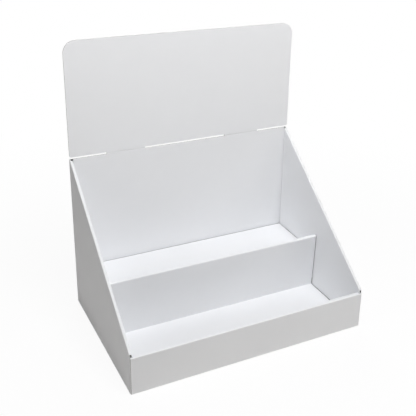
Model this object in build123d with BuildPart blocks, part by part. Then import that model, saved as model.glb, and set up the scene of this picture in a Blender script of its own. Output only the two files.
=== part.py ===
from build123d import *
import os
from math import hypot

os.makedirs("parts", exist_ok=True)

# Board: white fluted card, the same in both pieces
board = 1.6            # thickness of one ply
ply_gap = 0.3          # air between plies that lie against each other
seat_gap = 0.4         # air round a cut edge that stands on another ply
crease_r = 0.9         # outside radius of the body's creases
crease_in = 0.2        # inside radius of the insert's creases

# Outside of the stand
width = 300
depth = 202
lip_height = 47        # front lip
front_inset = 1.0      # front ply to outside of the side walls
back_height = 200      # crease between back panel and header
header_height = 142
header_corner = 15
header_foot_r = 2

# Crease between back panel and header: three slots and two creased bridges
slot_height = 2.4
bridge_from = 55       # middle of the stand to a bridge
bridge_length = 49
score_width = 1.0
score_depth = 0.4

# Side walls, turned over along their sloping edge
tip_drop = 0.2         # rear tip below the header's crease
tip_r = 1.3
toe_rise = 4.5         # front end of the sloping edge above the lip
toe_r = 1.3
turn_r = 1.0           # outside radius of the turned edge
turn_skin = 0.8        # card pressed thin at the turn
hollow_wide = 1.9      # hollow left under the turn
hollow_deep = 3.4

# Ears inside the lip, glue flaps behind the back panel, locking tabs in the base
ear_length = 45
ear_drop = 3
ear_taper = 4
flap_length = 45
flap_foot = 6
flap_drop = 2
flap_taper = 10
strip_end_gap = 0.6    # top of the rolled lip to side wall
roll_end_gap = 2.5     # inner ply of the rolled lip to side wall
back_end_gap = 0.8     # back panel to side wall
back_notch_wide = 2.0  # upper corners of the back panel
back_notch_high = 5
tab_length = 28
tab_short = 0.3        # tab end above the table
side_tab_from_mid = 44
front_tab_from_mid = 75

# Step insert
insert_gap = 1.0       # insert to side walls
riser_from_front = 105 # foot of the riser
riser_lean = 3.5       # its top forward of its foot
riser_height = 78.5
riser_wall = 5.2
shelf_height = 52
shelf_rear_gap = 0.6

# Planes and levels that follow from the sizes above
half_width = width / 2
front_half = half_width - front_inset
front_y = -depth / 2
rear_y = depth / 2
side_wall = 2 * board + ply_gap
lip_wall = 3 * board + 2 * ply_gap
side_front_y = front_y + board + ply_gap
ear_back_y = side_front_y + board
roll_back_y = front_y + lip_wall
roll_in_y = roll_back_y - board
back_out_y = rear_y - board - ply_gap
back_in_y = back_out_y - board
slot_low = back_height - slot_height / 2
slot_high = back_height + slot_height / 2
side_top = back_height - tip_drop
toe_height = lip_height + toe_rise
slope = (side_top - toe_height) / (rear_y - side_front_y)
ply_drop = board * hypot(1, slope)
ply_back_y = back_in_y - seat_gap
ply_back_height = toe_height + (ply_back_y - side_front_y) * slope
outer_in_x = half_width - board
inner_x = half_width - side_wall
inner_ply = board + ply_gap
wall_mid_x = half_width - side_wall / 2
ply_foot = board + seat_gap
ear_top = lip_height - board - ear_drop
flap_top = side_top - flap_drop
strip_half = inner_x - strip_end_gap
roll_half = inner_x - roll_end_gap
back_half = outer_in_x - back_end_gap
tab_x = inner_x + board / 2
tab_y = roll_in_y + board / 2
tab_slot = tab_length + 2 * seat_gap
tab_slot_wide = board + 2 * ply_gap
corner = (Align.MIN, Align.MIN)

with BuildPart() as display_body:
    # right side wall: one sheet turned over along the slope
    with BuildSketch(Plane.YZ.offset(inner_x)) as wall:
        with BuildLine():
            Polyline((side_front_y, 0), (rear_y, 0), (rear_y, side_top), (side_front_y, toe_height), close=True)
        make_face()
        fillet(wall.vertices().sort_by(Axis.Y)[-1], tip_r)
        fillet(wall.vertices().group_by(Axis.X)[0].sort_by(Axis.Y)[-1], toe_r)
    extrude(amount=side_wall)
    straight = display_body.edges().filter_by(GeomType.LINE).filter_by(Axis.X, reverse=True)
    fillet(straight.filter_by(Axis.Y, reverse=True).filter_by(Axis.Z, reverse=True), turn_r)

    # hollow under the turn, then air between its two plies
    turn_end = Plane((wall_mid_x, ply_back_y, ply_back_height), x_dir=(1, 0, 0), z_dir=(0, 1, slope))
    with BuildSketch(turn_end):
        with Locations((0, turn_skin + hollow_deep / 2)):
            SlotOverall(hollow_deep, hollow_wide, rotation=90)
    extrude(amount=-2 * depth, mode=Mode.SUBTRACT)
    with BuildSketch(Plane.YZ.offset(outer_in_x - ply_gap)):
        with BuildLine():
            Polyline(
                (front_y, board),
                (rear_y, board),
                (rear_y, side_top - ply_drop),
                (side_front_y, toe_height - ply_drop),
                (front_y, toe_height - ply_drop),
                close=True,
            )
        make_face()
    extrude(amount=ply_gap, mode=Mode.SUBTRACT)

    # its inner ply stops above the base, behind the ear and in front of the back panel
    with BuildSketch(Plane.YZ.offset(inner_x)):
        with Locations((front_y, board)):
            Rectangle(depth, seat_gap, align=corner)
            Rectangle(ear_back_y + seat_gap - front_y, lip_height - board, align=corner)
        with Locations((ply_back_y, board)):
            Rectangle(depth, side_top, align=corner)
        with Locations((back_out_y, 0)):
            Rectangle(depth, side_top, align=corner)
    extrude(amount=inner_ply, mode=Mode.SUBTRACT)

    # ear inside the lip and glue flap behind the back panel, then the left side alike
    with BuildSketch(Plane.XZ.offset(-ear_back_y)) as ear:
        with Locations((half_width - ear_length, ply_foot)):
            Rectangle(ear_length - turn_r, ear_top - ply_foot, align=corner)
        chamfer(ear.vertices().group_by(Axis.X)[0], ear_taper)
    extrude(amount=board)
    with BuildSketch(Plane.XZ.offset(-rear_y)) as flap:
        with Locations((half_width - flap_length, flap_foot)):
            Rectangle(flap_length - turn_r, flap_top - flap_foot, align=corner)
        chamfer(flap.vertices().group_by(Axis.X)[0], flap_taper)
    extrude(amount=board)
    mirror(about=Plane.YZ)

    # base with its outer creases, then the narrower front ply
    with BuildSketch(Plane.YZ):
        with Locations((front_y, 0)):
            Rectangle(back_out_y - front_y, board, align=corner)
    extrude(amount=half_width, both=True)
    bottom = display_body.edges().group_by(Axis.Z)[0]
    across = bottom.filter_by(Axis.X).sort_by(Axis.Y)
    along = bottom.filter_by(Axis.Y).sort_by(Axis.X)
    fillet([across[0], along[0], along[-1]], crease_r)
    with BuildSketch():
        with Locations((half_width, front_y), (-half_width, front_y)):
            Rectangle(2 * front_inset, 2 * (side_front_y - front_y))
    extrude(amount=board, mode=Mode.SUBTRACT)
    with BuildSketch(Plane.YZ):
        with Locations((front_y, crease_r)):
            Rectangle(board, lip_height - crease_r, align=corner)
    extrude(amount=front_half, both=True)

    # top and inner ply of the rolled lip
    with BuildSketch(Plane.YZ):
        with Locations((front_y, lip_height - board)):
            Rectangle(lip_wall, board, align=corner)
    extrude(amount=strip_half, both=True)
    with BuildSketch(Plane.YZ):
        with Locations((roll_in_y, ply_foot)):
            Rectangle(board, lip_height - ply_foot, align=corner)
    extrude(amount=roll_half, both=True)
    lip_edges = display_body.edges().filter_by(Axis.X).filter_by_position(
        Axis.Z, lip_height - ply_gap, lip_height + ply_gap
    )
    fillet([lip_edges.sort_by(Axis.Y)[0], lip_edges.sort_by(Axis.Y)[-1]], crease_r)

    # back panel, bridges and header in one plane
    with BuildSketch(Plane.XZ.offset(-back_out_y)) as back:
        Rectangle(2 * back_half, slot_low, align=(Align.CENTER, Align.MIN))
        with Locations((0, slot_high)):
            Rectangle(width, header_height - slot_height / 2, align=(Align.CENTER, Align.MIN))
        fillet(back.vertices().group_by(Axis.Y)[-1], header_corner)
        fillet(back.vertices().filter_by_position(Axis.Y, slot_high, slot_high), header_foot_r)
        with Locations((bridge_from, slot_low), (-bridge_from - bridge_length, slot_low)):
            Rectangle(bridge_length, slot_height, align=corner)
        with Locations((back_half, slot_low), (-back_half, slot_low)):
            Rectangle(2 * back_notch_wide, back_notch_high, align=(Align.CENTER, Align.MAX), mode=Mode.SUBTRACT)
    extrude(amount=board)
    with BuildSketch(Plane.YZ):
        with BuildLine():
            Polyline(
                (back_in_y, back_height - score_width / 2),
                (back_in_y, back_height + score_width / 2),
                (back_in_y + score_depth, back_height),
                close=True,
            )
        make_face()
    extrude(amount=bridge_from + bridge_length, both=True, mode=Mode.SUBTRACT)
    bottom = display_body.edges().group_by(Axis.Z)[0]
    across = bottom.filter_by(Axis.X).filter_by_position(Axis.Y, back_in_y, back_out_y + ply_gap)
    fillet(across.sort_by(SortBy.LENGTH)[-1], crease_r)

    # locking tabs of the inner plies in slots of the base
    with BuildSketch():
        with Locations((tab_x, 0), (-tab_x, 0)):
            with Locations((0, side_tab_from_mid), (0, -side_tab_from_mid)):
                Rectangle(tab_slot_wide, tab_slot)
        with Locations((front_tab_from_mid, tab_y), (-front_tab_from_mid, tab_y)):
            Rectangle(tab_slot, tab_slot_wide)
    extrude(amount=board, mode=Mode.SUBTRACT)
    with BuildSketch(Plane.XY.offset(tab_short)):
        with Locations((tab_x, 0), (-tab_x, 0)):
            with Locations((0, side_tab_from_mid), (0, -side_tab_from_mid)):
                Rectangle(board, tab_length)
        with Locations((front_tab_from_mid, tab_y), (-front_tab_from_mid, tab_y)):
            Rectangle(tab_length, board)
    extrude(amount=ply_foot - tab_short)

display_body.part.label = "display_body"
export_step(display_body.part, "parts/display_body.step")

mid = board / 2
riser_y = front_y + riser_from_front
riser_top_y = riser_y - riser_lean
riser_back_y = riser_top_y + riser_wall
shelf_rear_y = back_in_y - shelf_rear_gap

with BuildPart() as step_insert:
    # floor panel, riser, rolled lip, shelf and rear leg as one strip
    with BuildSketch(Plane.YZ):
        with BuildLine():
            FilletPolyline(
                (roll_back_y + seat_gap, board + mid),
                (riser_y + mid, board + mid),
                (riser_top_y + mid, riser_height - mid),
                (riser_back_y - mid, riser_height - mid),
                (riser_back_y - mid, shelf_height - mid),
                (shelf_rear_y - mid, shelf_height - mid),
                (shelf_rear_y - mid, board),
                radius=crease_in + mid,
            )
        trace(line_width=board)
    extrude(amount=inner_x - insert_gap, both=True)

step_insert.part.label = "step_insert"
export_step(step_insert.part, "parts/step_insert.step")
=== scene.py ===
import math

import bpy
from mathutils import Euler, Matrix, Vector


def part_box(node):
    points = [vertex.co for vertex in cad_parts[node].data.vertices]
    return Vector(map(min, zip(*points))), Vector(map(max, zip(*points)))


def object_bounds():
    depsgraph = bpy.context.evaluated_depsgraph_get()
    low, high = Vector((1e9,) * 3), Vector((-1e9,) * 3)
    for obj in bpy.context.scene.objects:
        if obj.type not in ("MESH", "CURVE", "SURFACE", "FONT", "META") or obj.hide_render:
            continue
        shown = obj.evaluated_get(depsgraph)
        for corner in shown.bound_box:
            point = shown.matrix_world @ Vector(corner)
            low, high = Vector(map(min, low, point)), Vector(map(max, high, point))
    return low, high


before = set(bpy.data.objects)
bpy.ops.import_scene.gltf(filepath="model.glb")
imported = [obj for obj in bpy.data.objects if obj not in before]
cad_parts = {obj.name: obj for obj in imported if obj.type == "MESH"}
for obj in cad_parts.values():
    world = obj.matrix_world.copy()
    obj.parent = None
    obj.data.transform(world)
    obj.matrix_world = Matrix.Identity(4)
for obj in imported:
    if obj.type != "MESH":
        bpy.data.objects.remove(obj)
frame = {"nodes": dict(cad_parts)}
cadBox = [list(corner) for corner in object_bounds()]
print("frame loaded:", ", ".join(frame["nodes"]))

stand = {  # places on the stand that the finishes follow, in metres
    "halfWidth": cadBox[1][0],
    "frontY": cadBox[0][1],
    "rearY": cadBox[1][1],
    "board": 0.0016,                     # one ply
    "plyGap": 0.0003,                    # air between two plies
    "lipZ": 0.0470,                      # top of the front lip
    "creaseZ": 0.2000,                   # crease between back panel and header
    "slot": 0.0024,                      # height of the slots in that crease
    "toe": (-0.0991, 0.0515),            # y and z where the sloping edge starts
    "tip": (0.1010, 0.1998),             # and where it ends
    "insert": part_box("step_insert"),
    "riserY": 0.0040,                    # foot of the riser
    "shelfTop": 0.0520,
}
stand["slack"] = stand["plyGap"] / 2     # lets a mask reach just past a face
stand["wallMid"] = stand["halfWidth"] - stand["board"] - stand["plyGap"] / 2
stand["wallIn"] = stand["halfWidth"] - 2 * stand["board"] - stand["plyGap"]
stand["backOut"] = stand["rearY"] - stand["board"] - stand["plyGap"]
stand["backIn"] = stand["backOut"] - stand["board"]
stand["floorTop"] = 2 * stand["board"]   # the insert's floor panel lies on the base


class Wire:  # a shader socket that can be added, scaled and compared
    def __init__(self, tree, socket=None):
        self.tree = tree
        self.socket = socket

    def make(self, kind, settings=None, sockets=None, out=0):
        node = self.tree.nodes.new(kind)
        for name, value in (settings or {}).items():
            setattr(node, name, value)
        for name, value in (sockets or {}).items():
            if isinstance(value, Wire):
                self.tree.links.new(value.socket, node.inputs[name])
            else:
                node.inputs[name].default_value = value
        return Wire(self.tree, node.outputs[out] if node.outputs else None)

    def math(self, operation, *values):
        return self.make("ShaderNodeMath", {"operation": operation}, dict(enumerate(values)))

    def __add__(self, other):
        return self.math("ADD", self, other)

    __radd__ = __add__

    def __sub__(self, other):
        return self.math("SUBTRACT", self, other)

    def __rsub__(self, other):
        return self.math("SUBTRACT", other, self)

    def __mul__(self, other):
        return self.math("MULTIPLY", self, other)

    __rmul__ = __mul__

    def __truediv__(self, other):
        return self.math("DIVIDE", self, other)

    def __rtruediv__(self, other):
        return self.math("DIVIDE", other, self)

    def __gt__(self, other):
        return self.math("GREATER_THAN", self, other)

    def __lt__(self, other):
        return self.math("LESS_THAN", self, other)

    def __abs__(self):
        return self.math("ABSOLUTE", self)

    def clamped(self):
        return self.make("ShaderNodeClamp", None, {"Value": self})

    def parts(self):  # x, y and z of a vector
        return [self.make("ShaderNodeSeparateXYZ", None, {"Vector": self}, axis) for axis in "XYZ"]

    def blend(self, first, second):  # two colours, this value is the share of the second
        colours = [value if isinstance(value, Wire) else (*value, 1) for value in (first, second)]
        sockets = {0: self, 6: colours[0], 7: colours[1]}  # by number, as Mix repeats its names
        return self.make("ShaderNodeMix", {"data_type": "RGBA"}, sockets, 2)


def emptyTree(owner):
    owner.use_nodes = True
    owner.node_tree.nodes.clear()
    return Wire(owner.node_tree)


def between(value, low, high):
    return (value > low) * (value < high)


def facing(part):  # faces that look along this axis, either way
    return part > 0.5


def wave(along, pitch):
    return along.math("SINE", along * (2 * math.pi / pitch))


boardLook = {
    "white": (0.853, 0.860, 0.877),      # coated liner
    "greyer": (0.828, 0.836, 0.855),
    "hollowShade": (0.40, 0.39, 0.37),        # painted shade in the hollow of a flute at a cut edge
    "shade": (0.055, 0.054, 0.052),      # inside a fold, where no light gets
    "wornHighlight": (0.900, 0.905, 0.915),       # coating scuffed thin on a crease, and a painted highlight, lighter than the coating
    "wearHighlightGain": 2.4,                     # makes the scuffing and the painted highlight patchy
    "wearHighlightStart": -0.5,
    "wornRough": 0.1,
    "roughness": 0.74,
    "roughSpread": 0.12,
    "specular": 0.25,
    "mottle": {"Scale": 38.0, "Detail": 3.0},
    "mottleShare": 0.7,                  # of the change in tone, the rest is fibre
    "fibre": {"Scale": 900.0, "Detail": 2.0},
    "fibreRise": 0.000006,
    "flutePitch": 0.0034,
    "fluteRise": 0.000004,               # print-through of the flutes
    "liner": 0.00022,                    # thickness of each outer paper
    "medium": 0.00018,                   # half the thickness of the wavy one as it shows
}
insertLook = {**boardLook, "hollowShade": (0.80, 0.79, 0.77)}  # its ends face the side walls, so their painted shade is lighter


def coatedBoard(name, look, hollowShades, creases, shades=None):
    material = bpy.data.materials.new(name)
    start = emptyTree(material)
    place = start.make("ShaderNodeTexCoord", out="Object")
    normal = start.make("ShaderNodeNewGeometry", out="Normal")
    spot = place.parts()
    face = [abs(part) for part in normal.parts()]
    mottle = start.make("ShaderNodeTexNoise", None, {"Vector": place, **look["mottle"]})
    fibre = start.make("ShaderNodeTexNoise", None, {"Vector": place, **look["fibre"]})

    grey = mottle * look["mottleShare"] + fibre * (1 - look["mottleShare"])
    # creases are painted lighter, a painted highlight, made patchy and rougher like wear
    wearAndHighlight = creases(spot, face) * (fibre * look["wearHighlightGain"] + look["wearHighlightStart"])
    colour = wearAndHighlight.clamped().blend(grey.blend(look["white"], look["greyer"]), look["wornHighlight"])
    # painted shade in the hollow of each flute at cut edges
    colour = hollowShades(spot, face).blend(colour, look["hollowShade"])
    if shades:
        colour = shades(spot).clamped().blend(colour, look["shade"])

    # flutes lie level in the side walls and stand up elsewhere
    onSide = facing(face[0])
    ripple = wave(spot[0] * (1 - onSide) + spot[2] * onSide, look["flutePitch"])
    height = ripple * look["fluteRise"] + fibre * look["fibreRise"]
    bump = start.make("ShaderNodeBump", None, {"Strength": 1.0, "Distance": 1.0, "Height": height})
    roughness = look["roughness"] + (mottle - 0.5) * look["roughSpread"] + wearAndHighlight * look["wornRough"]
    board = start.make(
        "ShaderNodeBsdfPrincipled",
        None,
        {
            "Base Color": colour,
            "Roughness": roughness,
            "Normal": bump,
            "Specular IOR Level": look["specular"],
        },
    )
    start.make("ShaderNodeOutputMaterial", None, {"Surface": board})
    return material


def bodyHollowShades(spot, face):  # header, glue flaps and front ply show flutes at their cut edges, with painted shade between the flutes
    (x, y, z), (nx, ny, _) = spot, face
    board, slack = stand["board"], stand["slack"]
    edge = 1 - facing(ny)
    onBack = between(y, stand["backIn"] - slack, stand["backOut"] + slack) * edge
    onHeader = onBack * (z > stand["creaseZ"] - stand["slot"])
    onFlap = (y > stand["backOut"] + slack) * edge * (abs(x) < stand["halfWidth"] - 2 * board)
    onFront = (y < stand["frontY"] + board + slack) * facing(nx)

    def across(low):  # place in the ply's thickness, from -0.5 to 0.5
        return (y - (low + board / 2)) / board

    depth = across(stand["backIn"]) * onHeader + across(stand["rearY"] - board) * onFlap
    depth = depth + across(stand["frontY"]) * onFront
    linerShare = 0.5 - boardLook["liner"] / board
    flute = wave(x, boardLook["flutePitch"]) * linerShare
    onMedium = (abs(depth - flute) < boardLook["medium"] / board) * (1 - facing(nx))
    return (onHeader + onFlap + onFront) * (abs(depth) < linerShare) * (1 - onMedium)


def insertHollowShades(_, face):  # painted shade over the strip's two ends
    return facing(face[0])


rubsAndHighlights = {
    "wide": 0.0011,                      # of the scuffed strip along a crease, painted lighter as a highlight
    "outward": 0.3,                      # a sloping edge is scuffed and painted lighter where it turns outwards
    "level": 0.9,                        # level faces beside a crease stay clean and unpainted
}


def underSlope(y, z):  # distance below the plane of the two sloping edges
    (toeY, toeZ), (tipY, tipZ) = stand["toe"], stand["tip"]
    rise = (tipZ - toeZ) / (tipY - toeY)
    return (toeZ + (y - toeY) * rise - z) / math.hypot(1, rise)


# lip, sloping edges and foot: where the painted highlight and the wear go
def bodyCreases(spot, face):
    (x, y, z), (nx, _, nz) = spot, face
    lip = (abs(z - stand["lipZ"]) < rubsAndHighlights["wide"]) * (y < stand["frontY"] + rubsAndHighlights["wide"])
    slope = (underSlope(y, z) < rubsAndHighlights["wide"]) * (abs(x) > stand["wallMid"]) * (nx > rubsAndHighlights["outward"])
    foot = (z < rubsAndHighlights["wide"]) * (nz < rubsAndHighlights["level"])
    return lip + slope + foot


def insertCreases(spot, face):
    return (spot[2] > stand["insert"][1][2] - rubsAndHighlights["wide"]) * (face[2] < rubsAndHighlights["level"])


folds = {
    "turnHalf": 0.00097,                 # half the width of the hollow under a turned edge
    "turnDepth": (0.0007, 0.0040),       # from and to, below the slope
    "notchX": (0.1457, 0.1486),          # notches of the back panel beside the rear tips
    "notchZ": (0.1962, 0.2008),
    "rightNotch": 0.5,                   # the right one is tighter, so it is less dark
}


def foldShade(x, y, z):
    inTurn = abs(abs(x) - stand["wallMid"]) < folds["turnHalf"]
    inTurn = inTurn * between(underSlope(y, z), *folds["turnDepth"])
    inTurn = inTurn * between(y, stand["toe"][0] - stand["slack"], stand["backIn"])
    inNotch = between(abs(x), *folds["notchX"]) * between(z, *folds["notchZ"])
    inNotch = inNotch * between(y, stand["backIn"] - stand["slack"], stand["rearY"] - stand["slack"])
    return inTurn + inNotch * (folds["rightNotch"] + (1 - folds["rightNotch"]) * (x < 0))


seams = {
    "depth": 0.0020,                     # how far down a seam is seen
    "footRise": 0.0090,                  # the riser's end stands off the wall up to here
    "footDeep": 0.0030,
    "floorShade": 0.65,
    "footShade": 0.50,
    "shelfShade": 0.35,
    "rearShade": 0.25,
    "scoreWide": 0.0010,                 # crease of the bridges under the header
    "scoreShade": 0.12,
}


def seamShade(x, y, z):  # strips of the body that show through the gaps round the insert
    (_, insertFront, _), (insertEnd, insertRear, _) = stand["insert"]
    riserY, floorTop, slack = stand["riserY"], stand["floorTop"], stand["slack"]
    atEnd = between(abs(x), insertEnd, stand["wallIn"] + slack)
    besideFloor = atEnd * between(y, insertFront, riserY)
    besideFloor = besideFloor * between(z, stand["board"] - slack, floorTop - slack)
    besideFoot = atEnd * between(y, riserY - 2 * slack, riserY + seams["footDeep"])
    besideFoot = besideFoot * between(z, floorTop - slack, floorTop + seams["footRise"])
    underShelf = between(z, stand["shelfTop"] - seams["depth"], stand["shelfTop"] - slack)
    besideShelf = atEnd * between(y, riserY, insertRear) * underShelf
    behindShelf = (abs(x) < insertEnd) * between(y, insertRear, stand["backIn"] + slack) * underShelf
    front = besideFloor * seams["floorShade"] + besideFoot * seams["footShade"]
    return front + besideShelf * seams["shelfShade"] + behindShelf * seams["rearShade"]


def scoreShade(y, z):
    halfWide = seams["scoreWide"] / 2
    onScore = between(y, stand["backIn"] - stand["slack"], stand["backIn"] + halfWide)
    return onScore * (abs(z - stand["creaseZ"]) < halfWide) * seams["scoreShade"]


def bodyShades(spot):
    x, y, z = spot
    return foldShade(x, y, z) + seamShade(x, y, z) + scoreShade(y, z)


bodyBoard = coatedBoard("coatedBoardBody", boardLook, bodyHollowShades, bodyCreases, bodyShades)
insertBoard = coatedBoard("coatedBoardInsert", insertLook, insertHollowShades, insertCreases)
for nodeName, finish in (("display_body", bodyBoard), ("step_insert", insertBoard)):
    mesh = frame["nodes"][nodeName].data
    mesh.materials.clear()
    mesh.materials.append(finish)
print("board finishes made")

studio = {
    "air": (1.0, 1.0, 1.0),
    "floorWhite": (0.92, 0.92, 0.92),    # floor as the camera sees it
    "bounce": (0.64, 0.62, 0.59),        # what it throws back at the object
    "glow": 0.92,                        # share of plain white that the camera sees near the stand
    "glowNear": 0.25,                    # from here it grows to all of it
    "glowFar": 0.75,
    "lamps": {                           # place, size in metres, power in watts
        "topSoftbox": ((0.0, -0.4, 1.15), 0.6, 10.1),
        "leftSoftbox": ((-1.5, -0.3, 0.8), 0.8, 5.0),
        "rightSoftbox": ((0.8, -0.9, 0.5), 0.6, 2.5),
        "frontSoftbox": ((0.2, -1.6, 0.45), 0.8, 1.9),
        "rearSoftbox": ((0.5, 1.3, 0.5), 0.8, 12.0),
    },
    "aim": (0.0, 0.0, 0.12),
    "reach": 6.0,                        # half the floor's width
    "wallY": 2.2,                        # where the floor begins to curve up
    "wallTurn": 1.2,
    "wallTop": 5.0,
    "turnSteps": 12,
}


def seenByEye(start):  # by the camera, in a gloss or through something clear
    rays = ("Is Camera Ray", "Is Glossy Ray", "Is Transmission Ray")
    camera, glossy, through = (start.make("ShaderNodeLightPath", out=ray) for ray in rays)
    return (camera + glossy + through).clamped()


def floorPaint():
    material = bpy.data.materials.new("studioWhite")
    start = emptyTree(material)
    seen = seenByEye(start)
    shade = seen.blend(studio["bounce"], studio["floorWhite"])
    paint = start.make("ShaderNodeBsdfDiffuse", None, {"Color": shade})
    white = start.make("ShaderNodeEmission", None, {"Strength": 1.0})
    place = start.make("ShaderNodeTexCoord", out="Object")
    away = start.make("ShaderNodeVectorMath", {"operation": "LENGTH"}, {0: place}, "Value")
    glow = start.make(
        "ShaderNodeMapRange",
        {"interpolation_type": "SMOOTHSTEP"},
        {
            "Value": away,
            "From Min": studio["glowNear"],
            "From Max": studio["glowFar"],
            "To Min": studio["glow"],
            "To Max": 1.0,
        },
    )
    surface = start.make("ShaderNodeMixShader", None, {0: seen * glow, 1: paint, 2: white})
    start.make("ShaderNodeOutputMaterial", None, {"Surface": surface})
    return material


def makeFloor():
    profile = [(-studio["reach"], 0.0), (studio["wallY"], 0.0)]
    for step in range(1, studio["turnSteps"] + 1):
        angle = math.pi / 2 * step / studio["turnSteps"]
        forward, up = studio["wallTurn"] * math.sin(angle), studio["wallTurn"] * (1 - math.cos(angle))
        profile.append((studio["wallY"] + forward, up))
    profile.append((studio["wallY"] + studio["wallTurn"], studio["wallTop"]))
    points = [(side * studio["reach"], y, z) for y, z in profile for side in (-1, 1)]
    faces = [(2 * i, 2 * i + 1, 2 * i + 3, 2 * i + 2) for i in range(len(profile) - 1)]
    sheet = bpy.data.meshes.new("studioFloor")
    sheet.from_pydata(points, [], faces)
    sheet.shade_smooth()
    sheet.materials.append(floorPaint())
    floor = bpy.data.objects.new("studioFloor", sheet)
    bpy.context.scene.collection.objects.link(floor)


def makeLamp(name, place, size, power):
    light = bpy.data.lights.new(name, "AREA")
    light.energy, light.size = power, size
    lamp = bpy.data.objects.new(name, light)
    lamp.location, lamp.visible_camera = place, False
    lamp.rotation_euler = (Vector(studio["aim"]) - Vector(place)).to_track_quat("-Z", "Y").to_euler()
    bpy.context.scene.collection.objects.link(lamp)


def makeWorld():
    world = bpy.data.worlds.new("studioAir")
    start = emptyTree(world)
    light = {"Color": (*studio["air"], 1), "Strength": seenByEye(start)}
    air = start.make("ShaderNodeBackground", None, light)
    start.make("ShaderNodeOutputWorld", None, {"Surface": air})
    bpy.context.scene.world = world


makeFloor()
for lampName, (lampPlace, lampSize, lampPower) in studio["lamps"].items():
    makeLamp(lampName, lampPlace, lampSize, lampPower)
makeWorld()
print("studio lit")

photoView = {
    "place": (-0.35313, -0.71751, 0.54277),
    "turn": (67.4022, -1.9017, -27.8778),
    "lens": 64.184,
    "sensor": 36.0,
    "shift": (-0.09751, -0.11175),       # the picture is an off-centre crop
    "near": 0.01,                        # nothing closer than this is drawn
}
camera = bpy.data.cameras.new("photoCamera")
camera.sensor_width, camera.lens = photoView["sensor"], photoView["lens"]
camera.shift_x, camera.shift_y = photoView["shift"]
camera.clip_start = photoView["near"]
eye = bpy.data.objects.new("photoCamera", camera)
eye.location = photoView["place"]
eye.rotation_euler = Euler([math.radians(angle) for angle in photoView["turn"]], "XYZ")
bpy.context.scene.collection.objects.link(eye)
bpy.context.scene.camera = eye
bpy.context.scene.view_settings.view_transform = "Standard"
print("camera set")
